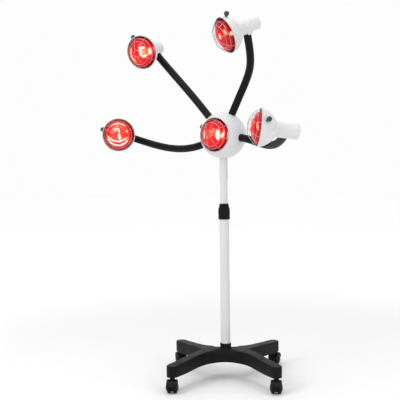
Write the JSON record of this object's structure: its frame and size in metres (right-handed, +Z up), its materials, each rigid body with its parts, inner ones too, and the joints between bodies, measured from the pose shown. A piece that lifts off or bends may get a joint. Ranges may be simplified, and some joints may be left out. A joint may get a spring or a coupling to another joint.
{
  "type": "infrared hair dryer",
  "caption": "Floor-standing infrared hair dryer: caged red heat lamps on flexible arms around a ball hub, on a telescopic pole with a cross-shaped castor base.",
  "frame": {"origin": "on the floor, on the pole's axis, midway between the castor stems", "axes": "+Z up the pole, -Y towards the viewer in front of the stand, +X to the viewer's right"},
  "size_m": [0.8933, 0.8259, 1.5717],
  "materials": {
    "base_black": "satin moulded black",
    "ballast_iron": "primed",
    "steel": "zinc plated",
    "castor_black": "moulded black",
    "white_paint": "white powder coat",
    "grey_plastic": "moulded",
    "arm_black": "smooth black sleeve",
    "knob_black": "polished black",
    "gland_black": "moulded",
    "reflector": "bright",
    "red_glass": "red filter glass",
    "ceramic": "glazed",
    "guard_wire": "bright wire"
  },
  "bodies": {
    "base": {"base_shell": "base_black", "base_ballast": "ballast_iron", "pole_socket": "base_black", "pole_plug": "grey_plastic", "base_bolt": "steel", "castor_stems": "steel", "lower_pole": "white_paint", "clamp_collet": "base_black"},
    "grip": {"clamp_grip": "base_black"},
    "mast": {"upper_pole": "white_paint", "pole_bush": "grey_plastic"},
    "head": {"head_sleeve": "white_paint", "hub_ball": "white_paint", "gooseneck_cups": "arm_black", "hub_reflector": "reflector", "rear_cover": "white_paint", "cover_screws": "steel", "cable_gland": "gland_black", "terminal_block": "ceramic", "bulb_hub": "red_glass", "lampholder_hub": "ceramic", "guard_hub": "guard_wire"},
    "rocker": {"rocker_switch": "knob_black"},
    "hub_knob": {"knob_hub": "knob_black"},
    "hood_front_left": {"castor_front_left_hood": "castor_black"},
    "wheels_front_left": {"castor_front_left_wheels": "castor_black"},
    "hood_front_right": {"castor_front_right_hood": "castor_black"},
    "wheels_front_right": {"castor_front_right_wheels": "castor_black"},
    "hood_back_right": {"castor_back_right_hood": "castor_black"},
    "wheels_back_right": {"castor_back_right_wheels": "castor_black"},
    "hood_back_left": {"castor_back_left_hood": "castor_black"},
    "wheels_back_left": {"castor_back_left_wheels": "castor_black"},
    "arm_left_inner": {"gooseneck_inner_left": "arm_black"},
    "arm_left_outer": {"gooseneck_outer_left": "arm_black"},
    "lamp_left": {"shade_left": "white_paint", "bulb_left": "red_glass", "lampholder_left": "ceramic", "guard_left": "guard_wire"},
    "knob_left": {"knob_left": "knob_black"},
    "arm_upper_left_inner": {"gooseneck_inner_upper_left": "arm_black"},
    "arm_upper_left_outer": {"gooseneck_outer_upper_left": "arm_black"},
    "lamp_upper_left": {"shade_upper_left": "white_paint", "bulb_upper_left": "red_glass", "lampholder_upper_left": "ceramic", "guard_upper_left": "guard_wire"},
    "knob_upper_left": {"knob_upper_left": "knob_black"},
    "arm_top_inner": {"gooseneck_inner_top": "arm_black"},
    "arm_top_outer": {"gooseneck_outer_top": "arm_black"},
    "lamp_top": {"shade_top": "white_paint", "bulb_top": "red_glass", "lampholder_top": "ceramic", "guard_top": "guard_wire"},
    "knob_top": {"knob_top": "knob_black"},
    "arm_right_inner": {"gooseneck_inner_right": "arm_black"},
    "arm_right_outer": {"gooseneck_outer_right": "arm_black"},
    "lamp_right": {"shade_right": "white_paint", "bulb_right": "red_glass", "lampholder_right": "ceramic", "guard_right": "guard_wire"},
    "knob_right": {"knob_right": "knob_black"}
  },
  "joints": [
    {"name": "castor_front_left_swivel", "type": "hinge", "parent": "base", "child": "hood_front_left", "pos_m": [-0.219, -0.219, 0.061], "axis": [0, 0, 1], "continuous": true},
    {"name": "castor_front_left_roll", "type": "hinge", "parent": "hood_front_left", "child": "wheels_front_left", "pos_m": [-0.219, -0.233, 0.025], "axis": [1, 0, 0], "continuous": true},
    {"name": "castor_front_right_swivel", "type": "hinge", "parent": "base", "child": "hood_front_right", "pos_m": [0.219, -0.219, 0.061], "axis": [0, 0, 1], "continuous": true},
    {"name": "castor_front_right_roll", "type": "hinge", "parent": "hood_front_right", "child": "wheels_front_right", "pos_m": [0.21802, -0.23297, 0.025], "axis": [0.9976, -0.0698, 0], "continuous": true},
    {"name": "castor_back_right_swivel", "type": "hinge", "parent": "base", "child": "hood_back_right", "pos_m": [0.219, 0.219, 0.061], "axis": [0, 0, 1], "continuous": true},
    {"name": "castor_back_right_roll", "type": "hinge", "parent": "hood_back_right", "child": "wheels_back_right", "pos_m": [0.22379, 0.23216, 0.025], "axis": [-0.9397, 0.342, 0], "continuous": true},
    {"name": "castor_back_left_swivel", "type": "hinge", "parent": "base", "child": "hood_back_left", "pos_m": [-0.219, 0.219, 0.061], "axis": [0, 0, 1], "continuous": true},
    {"name": "castor_back_left_roll", "type": "hinge", "parent": "hood_back_left", "child": "wheels_back_left", "pos_m": [-0.22309, 0.23239, 0.025], "axis": [-0.9563, -0.2924, 0], "continuous": true},
    {"name": "clamp_twist", "type": "hinge", "parent": "base", "child": "grip", "pos_m": [0, 0, 0.738], "axis": [0, 0, 1], "range_deg": [0, 120]},
    {"name": "pole_slide", "type": "slide", "parent": "base", "child": "mast", "axis": [0, 0, 1], "range_m": [-0.1, 0.3]},
    {"name": "head_turn", "type": "hinge", "parent": "mast", "child": "head", "pos_m": [0, 0, 0.94], "axis": [0, 0, 1], "range_deg": [-170, 170]},
    {"name": "rocker_tilt", "type": "hinge", "parent": "head", "child": "rocker", "pos_m": [0.051, 0.0811, 1.10118], "axis": [0.8465, -0.5323, 0], "range_deg": [-16, 0]},
    {"name": "hub_knob_turn", "type": "hinge", "parent": "head", "child": "hub_knob", "pos_m": [-0.08394, 0.04589, 1.11839], "axis": [-0.8229, 0.4499, 0.347], "continuous": true},
    {"name": "arm_left_root", "type": "hinge", "parent": "head", "child": "arm_left_inner", "pos_m": [-0.08895, 0.0542, 1.04641], "axis": [-0.2607, 0.2085, 0.9426], "range_deg": [-20, 20]},
    {"name": "arm_left_middle", "type": "hinge", "parent": "arm_left_inner", "child": "arm_left_outer", "pos_m": [-0.25849, 0.17735, 1.03121], "axis": [0.0743, 0.0004, 0.9972], "range_deg": [-20, 20]},
    {"name": "lamp_left_tilt", "type": "hinge", "parent": "arm_left_outer", "child": "lamp_left", "pos_m": [-0.44401, 0.25851, 1.08246], "axis": [0.3146, -0.0253, 0.9489], "range_deg": [-25, 25]},
    {"name": "knob_left_turn", "type": "hinge", "parent": "lamp_left", "child": "knob_left", "pos_m": [-0.55687, 0.17192, 1.11758], "axis": [-0.8881, 0.3449, 0.3037], "continuous": true},
    {"name": "arm_upper_left_root", "type": "hinge", "parent": "head", "child": "arm_upper_left_inner", "pos_m": [-0.06133, 0.04242, 1.16441], "axis": [0.6391, -0.37, 0.6743], "range_deg": [-20, 20]},
    {"name": "arm_upper_left_middle", "type": "hinge", "parent": "arm_upper_left_inner", "child": "arm_upper_left_outer", "pos_m": [-0.17723, 0.12245, 1.30693], "axis": [0.6086, -0.349, 0.7126], "range_deg": [-20, 20]},
    {"name": "lamp_upper_left_tilt", "type": "hinge", "parent": "arm_upper_left_outer", "child": "lamp_upper_left", "pos_m": [-0.29832, 0.19118, 1.45151], "axis": [0.6949, -0.4499, 0.561], "range_deg": [-25, 25]},
    {"name": "knob_upper_left_turn", "type": "hinge", "parent": "lamp_upper_left", "child": "knob_upper_left", "pos_m": [-0.40351, 0.12083, 1.52538], "axis": [-0.4325, 0.3619, 0.8258], "continuous": true},
    {"name": "arm_top_root", "type": "hinge", "parent": "head", "child": "arm_top_inner", "pos_m": [0.0433, -0.02254, 1.18202], "axis": [0.7505, -0.4928, -0.4404], "range_deg": [-20, 20]},
    {"name": "arm_top_middle", "type": "hinge", "parent": "arm_top_inner", "child": "arm_top_outer", "pos_m": [0.1128, -0.09428, 1.33806], "axis": [0.6729, -0.4509, -0.5864], "range_deg": [-20, 20]},
    {"name": "lamp_top_tilt", "type": "hinge", "parent": "arm_top_outer", "child": "lamp_top", "pos_m": [0.11775, -0.21072, 1.48187], "axis": [0.5545, -0.758, -0.3433], "range_deg": [-25, 25]},
    {"name": "knob_top_turn", "type": "hinge", "parent": "lamp_top", "child": "knob_top", "pos_m": [0.0284, -0.30609, 1.54813], "axis": [0.1345, -0.3255, 0.9359], "continuous": true},
    {"name": "arm_right_root", "type": "hinge", "parent": "head", "child": "arm_right_inner", "pos_m": [0.08558, -0.06847, 1.06975], "axis": [-0.1271, 0.033, -0.9913], "range_deg": [-20, 20]},
    {"name": "arm_right_middle", "type": "hinge", "parent": "arm_right_inner", "child": "arm_right_outer", "pos_m": [0.19892, -0.20627, 1.03683], "axis": [-0.1401, 0.0413, -0.9893], "range_deg": [-20, 20]},
    {"name": "lamp_right_tilt", "type": "hinge", "parent": "arm_right_outer", "child": "lamp_right", "pos_m": [0.25186, -0.37657, 1.0736], "axis": [-0.0684, -0.3962, -0.9156], "range_deg": [-25, 25]},
    {"name": "knob_right_turn", "type": "hinge", "parent": "lamp_right", "child": "knob_right", "pos_m": [0.18585, -0.49476, 1.12966], "axis": [0.4925, -0.8115, 0.3143], "continuous": true}
  ]
}
